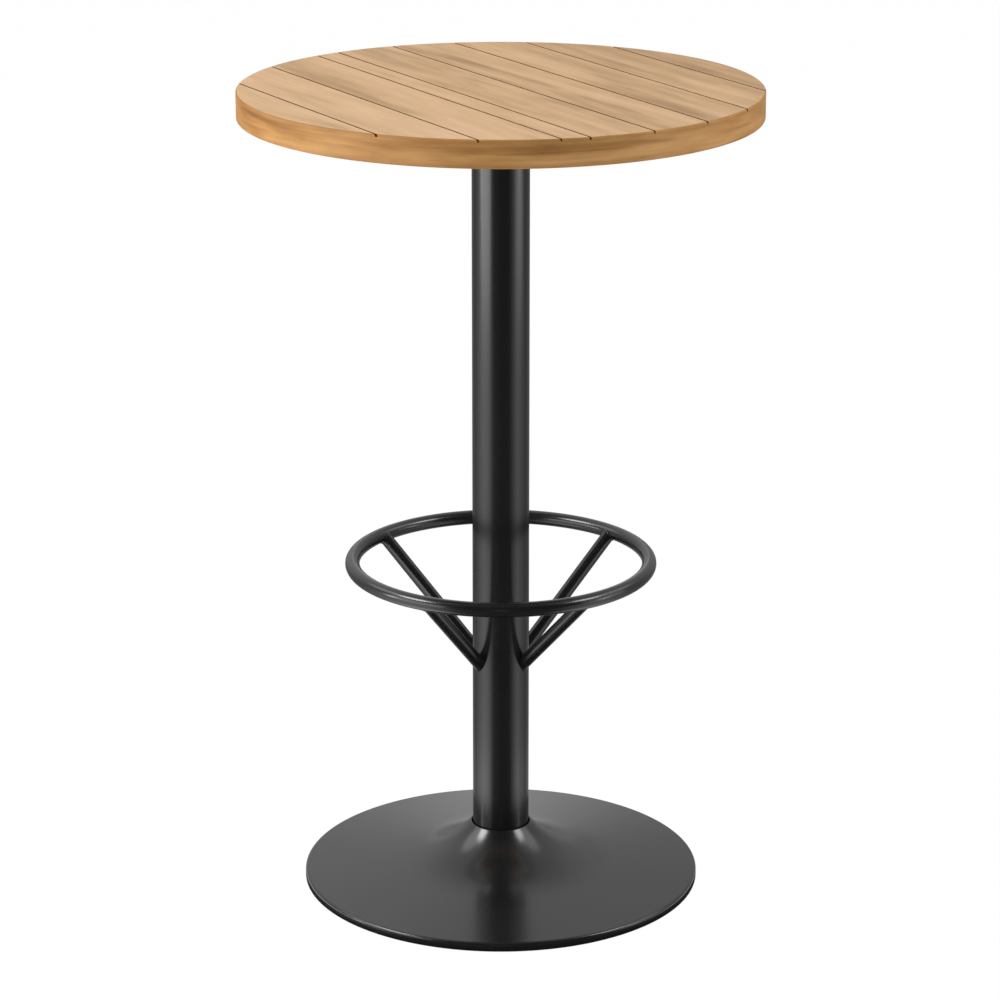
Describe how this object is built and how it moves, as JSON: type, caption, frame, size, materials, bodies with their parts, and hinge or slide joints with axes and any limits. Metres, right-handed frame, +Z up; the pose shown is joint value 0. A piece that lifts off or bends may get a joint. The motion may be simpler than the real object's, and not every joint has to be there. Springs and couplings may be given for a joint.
{
  "type": "standing table",
  "caption": "Tall round bar table with a slatted teak top, a black tube column with a round foot ring on slanting struts, and a weighted trumpet base on levelling glides.",
  "frame": {"origin": "on the floor under the column's axis, at the bottom centre of the table", "axes": "+Z up along the column; -Y is the front, seen in the picture; the boards run 29.6 degrees from Y, from the back left to the front right"},
  "size_m": [0.7, 0.7, 1.12],
  "materials": {
    "teak_top": "oiled, open seams",
    "teak_rim": "oiled",
    "teak_batten": "planed",
    "beech": "planed",
    "black_powder_coat": "satin, fine texture",
    "black_primer": "matt",
    "cast_iron": "rough",
    "stainless": "bright",
    "black_plastic": "moulded"
  },
  "bodies": {
    "table": {"slat_1": "teak_top", "slat_2": "teak_top", "slat_3": "teak_top", "slat_4": "teak_top", "slat_5": "teak_top", "slat_6": "teak_top", "slat_7": "teak_top", "slat_8": "teak_top", "slat_9": "teak_top", "rim_segment_1": "teak_rim", "rim_segment_2": "teak_rim", "rim_segment_3": "teak_rim", "rim_segment_4": "teak_rim", "rim_segment_5": "teak_rim", "rim_segment_6": "teak_rim", "rim_tenons": "beech", "batten_front": "teak_batten", "batten_back": "teak_batten", "top_plate": "black_powder_coat", "plate_collar": "black_powder_coat", "plate_bolts": "stainless", "column_tube": "black_powder_coat", "tie_rod": "stainless", "tie_rod_nut": "stainless", "foot_ring": "black_powder_coat", "strut_front_left": "black_powder_coat", "strut_front_right": "black_powder_coat", "strut_back_left": "black_powder_coat", "strut_back_right": "black_powder_coat", "base_cover": "black_powder_coat", "base_plate": "black_primer", "ballast_ring": "cast_iron", "column_spigot": "black_primer", "glide_bosses": "black_primer"},
    "pad_front_left": {"glide_pad_front_left": "black_plastic"},
    "stud_front_left": {"glide_stud_front_left": "stainless"},
    "pad_front_right": {"glide_pad_front_right": "black_plastic"},
    "stud_front_right": {"glide_stud_front_right": "stainless"},
    "pad_back_left": {"glide_pad_back_left": "black_plastic"},
    "stud_back_left": {"glide_stud_back_left": "stainless"},
    "pad_back_right": {"glide_pad_back_right": "black_plastic"},
    "stud_back_right": {"glide_stud_back_right": "stainless"}
  },
  "joints": [
    {"name": "glide_front_left_rise", "type": "slide", "parent": "table", "child": "pad_front_left", "axis": [0, 0, 1], "range_m": [-0.006, 0]},
    {"name": "glide_front_left_turn", "type": "hinge", "parent": "pad_front_left", "child": "stud_front_left", "pos_m": [-0.13435, -0.13435, 0.0037], "axis": [0, 0, 1], "range_deg": [-1728.5, 0.5]},
    {"name": "glide_front_right_rise", "type": "slide", "parent": "table", "child": "pad_front_right", "axis": [0, 0, 1], "range_m": [-0.006, 0]},
    {"name": "glide_front_right_turn", "type": "hinge", "parent": "pad_front_right", "child": "stud_front_right", "pos_m": [0.13435, -0.13435, 0.0037], "axis": [0, 0, 1], "range_deg": [-1728.5, 0.5]},
    {"name": "glide_back_left_rise", "type": "slide", "parent": "table", "child": "pad_back_left", "axis": [0, 0, 1], "range_m": [-0.006, 0]},
    {"name": "glide_back_left_turn", "type": "hinge", "parent": "pad_back_left", "child": "stud_back_left", "pos_m": [-0.13435, 0.13435, 0.0037], "axis": [0, 0, 1], "range_deg": [-1728.5, 0.5]},
    {"name": "glide_back_right_rise", "type": "slide", "parent": "table", "child": "pad_back_right", "axis": [0, 0, 1], "range_m": [-0.006, 0]},
    {"name": "glide_back_right_turn", "type": "hinge", "parent": "pad_back_right", "child": "stud_back_right", "pos_m": [0.13435, 0.13435, 0.0037], "axis": [0, 0, 1], "range_deg": [-1728.5, 0.5]}
  ],
  "couplings": [
    {"joint": "glide_front_left_turn", "follows": "glide_front_left_rise", "rad_per_m": 5026.5},
    {"joint": "glide_front_right_turn", "follows": "glide_front_right_rise", "rad_per_m": 5026.5},
    {"joint": "glide_back_left_turn", "follows": "glide_back_left_rise", "rad_per_m": 5026.5},
    {"joint": "glide_back_right_turn", "follows": "glide_back_right_rise", "rad_per_m": 5026.5}
  ]
}
